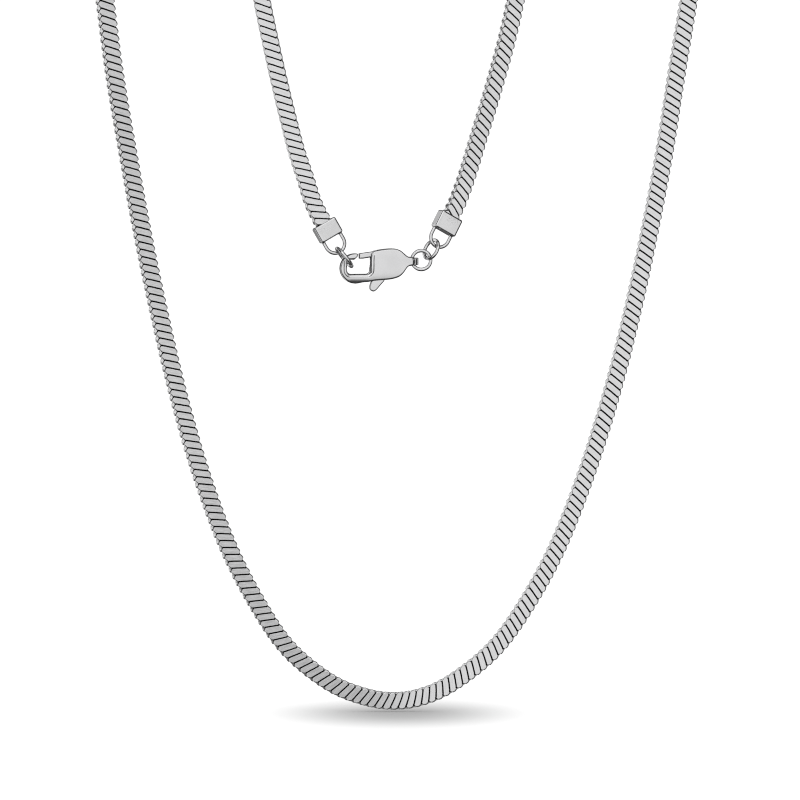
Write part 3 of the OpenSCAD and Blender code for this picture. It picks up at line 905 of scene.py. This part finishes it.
def closing_rings(clasp):
    """Middles and ways of the tail ring, in the clasp's eye, and of the link ring from it to the loop."""
    near = math.sqrt((TAIL_RING_R - 2 * WIRE_R) ** 2 - (EYE_H / 2 + TAIL_RING_RISE) ** 2)
    eye = side_of(clasp, (TAIL_EYE[0], 0, TAIL_EYE[1]))
    tail_middle = eye + ((TAIL_RING_R + near) / 2, 0, TAIL_RING_RISE)
    hold_way = np.array([math.cos(TAIL_HOLD_TURN), 0, math.sin(TAIL_HOLD_TURN)])
    tail_hold = tail_middle + (TAIL_RING_R - WIRE_R) * hold_way
    loop_x, loop_z = LOOP_R * math.sin(LOOP_HOLD_TURN), LOOP_R * math.cos(LOOP_HOLD_TURN)
    loop_hold = side_of(right_end, (loop_x, 0, CAP_END + LOOP_LEG + loop_z))
    along, across = leaning(LINK_RING_LEAN, LINK_RING_TILT, -1)
    along = along + (0, (loop_hold[1] - tail_hold[1]) / (2 * (LINK_RING_R - WIRE_R)), 0)
    tail = (tail_middle, np.array([1.0, 0, 0]), np.array([0, 0, 1.0]))
    return tail, ((tail_hold + loop_hold) / 2, along, across)


def set_camera():
    data = bpy.data.cameras.new("camera")
    data.sensor_width = SENSOR
    data.lens = SENSOR * CAMERA_FAR / SEEN_WIDTH
    data.clip_start, data.clip_end = CAMERA_CLIP
    camera = bpy.data.objects.new("camera", data)
    away = np.array([0, -math.cos(CAMERA_DOWN), math.sin(CAMERA_DOWN)])
    camera.location = np.array(CAMERA_AIM) + CAMERA_FAR * away
    camera.rotation_euler = (math.pi / 2 - CAMERA_DOWN, 0, 0)
    bpy.context.collection.objects.link(camera)
    bpy.context.scene.camera = camera


def sheet(name, points, material):
    """A flat four-sided sheet."""
    mesh = bpy.data.meshes.new(name)
    mesh.from_pydata(points, [], [(0, 1, 2, 3)])
    mesh.materials.append(material)
    piece = bpy.data.objects.new(name, mesh)
    bpy.context.collection.objects.link(piece)
    return piece


def shade_distance(kit):
    """Distance from the middle of the shade, as a share of its reach."""
    shift = kit.add("ShaderNodeVectorMath", operation="SUBTRACT")
    kit.link(kit.add("ShaderNodeTexCoord").outputs["Object"], shift.inputs[0])
    kit.link(SHADE_MIDDLE, shift.inputs[1])
    flat = stretched(kit, shift.outputs[0], (1 / SHADE_REACH[0], 1 / SHADE_REACH[1], 0))
    far = kit.add("ShaderNodeVectorMath", operation="LENGTH")
    kit.link(flat, far.inputs[0])
    return far.outputs["Value"]


def floor_white():
    """A white floor that glows a little, with a painted shadow: it glows less in the shade."""
    material, nodes, _ = new_material("floor_white")
    shader = nodes["Principled BSDF"]
    shader.inputs["Roughness"].default_value = FLOOR_ROUGHNESS
    shader.inputs["Specular IOR Level"].default_value = 0.0
    shader.inputs["Emission Strength"].default_value = FLOOR_GLOW
    kit = Nodes(material.node_tree)
    # The painted shadow: the glow is darker towards the middle of the shade.
    tone = kit.ease(shade_distance(kit), SHADE_CORE, 1.0, SHADE_TONE, FLOOR_TONE)
    grey = kit.add("ShaderNodeCombineColor")
    for name in ("Red", "Green", "Blue"):
        kit.link(tone, grey.inputs[name])
    kit.link(grey.outputs[0], shader.inputs["Emission Color"])
    shader.inputs["Base Color"].default_value = (FLOOR_BASE, FLOOR_BASE, FLOOR_BASE, 1)
    return material


def lay_floor():
    """The floor. Metal shows the light from below in its place."""
    a, z = FLOOR_HALF, FLOOR_Z
    floor = sheet("floor", [(-a, -a, z), (a, -a, z), (a, a, z), (-a, a, z)], floor_white())
    floor.visible_glossy = False


def near_box():
    """A soft box that only shows in the metal."""
    material, nodes, links = new_material("near_box_glow")
    nodes.remove(nodes["Principled BSDF"])
    glow = nodes.new("ShaderNodeEmission")
    glow.inputs["Strength"].default_value = NEAR_BOX_LIGHT
    links.new(glow.outputs[0], nodes["Material Output"].inputs["Surface"])
    (x, y, z), (a, b) = NEAR_BOX, NEAR_BOX_HALF
    points = [(x - a, y, z - b), (x + a, y, z - b), (x + a, y, z + b), (x - a, y, z + b)]
    box_sheet = sheet("near_box", points, material)
    for way in ("camera", "diffuse", "transmission", "volume_scatter", "shadow"):
        setattr(box_sheet, "visible_" + way, False)


def lay(kit, level, mask, light):
    """The level goes to light where the mask is 1."""
    kept = kit.math("MULTIPLY", level, kit.math("SUBTRACT", 1.0, mask))
    return kit.math("ADD", kept, kit.math("MULTIPLY", mask, light))


def light_level(kit, x, y, z):
    """The light that comes from a direction."""
    level = kit.ease(z, *LEVEL_Z, LOW_LIGHT, LEVEL_LIGHT)
    side_boxes = kit.math("ADD", kit.ease(x, *LEFT_BOX_X), kit.ease(x, *RIGHT_BOX_X))
    level = lay(kit, level, kit.both(side_boxes, kit.ease(z, *SIDE_BOX_Z)), SIDE_BOX_LIGHT)
    level = lay(kit, level, kit.both(kit.ease(z, *TOP_BOX_Z), kit.ease(y, *TOP_BOX_Y)), TOP_BOX_LIGHT)
    sides = kit.both(kit.ease(kit.math("ABSOLUTE", y), *SIDES_Y), kit.ease(z, *SIDES_Z, 1, SIDES_HIGH))
    level = lay(kit, level, sides, DARK_LIGHT)
    level = lay(kit, level, kit.both(kit.ease(y, *BEHIND_Y), kit.ease(z, *BEHIND_Z)), DARK_LIGHT)
    level = lay(kit, level, kit.ease(z, *BELOW_Z), DARK_LIGHT)
    return lay(kit, level, kit.both(kit.ease(x, *BACK_BOX_X), kit.ease(y, *BACK_BOX_Y)), SIDE_BOX_LIGHT)


def set_world():
    """Light by direction for the metal, and one even light for the floor and what is seen past it."""
    world = bpy.data.worlds.new("studio")
    bpy.context.scene.world = world
    world.use_nodes = True
    kit = Nodes(world.node_tree)
    way = kit.add("ShaderNodeSeparateXYZ")
    kit.link(kit.add("ShaderNodeTexCoord").outputs["Generated"], way.inputs[0])
    level = light_level(kit, *way.outputs)
    paths = kit.add("ShaderNodeLightPath").outputs
    even = kit.math("MAXIMUM", paths["Is Camera Ray"], paths["Is Diffuse Ray"])
    background = world.node_tree.nodes["Background"]
    kit.link(lay(kit, level, even, SEEN_LIGHT), background.inputs["Strength"])
    background.inputs["Color"].default_value = (1, 1, 1, 1)


def soft_light(name, place, size, power, aim):
    light = bpy.data.lights.new(name, "AREA")
    light.size = size
    light.energy = power
    lamp = bpy.data.objects.new(name, light)
    lamp.location = place
    lamp.rotation_euler = (Vector(aim) - Vector(place)).to_track_quat("-Z", "Y").to_euler()
    bpy.context.collection.objects.link(lamp)


line = Line(
    strand(BACK_LEFT, BAR_R) + over_bar(*LEFT_ARCH) + strand(FRONT, -BAR_R)
    + over_bar(*RIGHT_ARCH)[::-1] + strand(BACK_RIGHT, BAR_R)
)
gaps = gap_lengths()
middle = np.argmin(abs(gaps - line.row_length[LOWEST_ROW]))
chain_half("chain_rings_left", "chain_left", gaps[:middle + 1], -1)
chain_half("chain_rings_right", "chain_right", gaps[middle:], 1)

left_end, right_end = chain_end(0, -1), chain_end(-1, 1)
clasp, hook_ring = clasp_base()
tail_ring, link_ring = closing_rings(clasp)
end_cap("end_cap_left_shell", "end_cap_left", left_end, CAP_LEFT)
end_cap("end_cap_right_shell", "end_cap_right", right_end, CAP_RIGHT)
jump_ring("hook_ring_wire", "hook_ring", *hook_ring, HOOK_RING_R)
jump_ring("link_ring_wire", "link_ring", *link_ring, LINK_RING_R)
jump_ring("tail_ring_wire", "tail_ring", *tail_ring, TAIL_RING_R)
put("clasp_body_shell", "clasp_body", clasp, *skin(body_shape, *BODY_BOX, BODY_CELL))
put("clasp_lever_shell", "clasp_lever", clasp, *skin(lever_shape, *LEVER_BOX, LEVER_CELL), "lever")
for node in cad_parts.values():
    node.data.materials.clear()
    node.data.materials.append(polished_steel())

set_camera()
lay_floor()
near_box()
set_world()
soft_light("top_light", TOP_LIGHT_PLACE, TOP_LIGHT_SIZE, TOP_LIGHT_POWER, TOP_LIGHT_AIM)
bpy.context.scene.view_settings.view_transform = "Standard"
bpy.context.scene.view_settings.look = "None"
bpy.context.scene.cycles.filter_width = FILTER_WIDTH
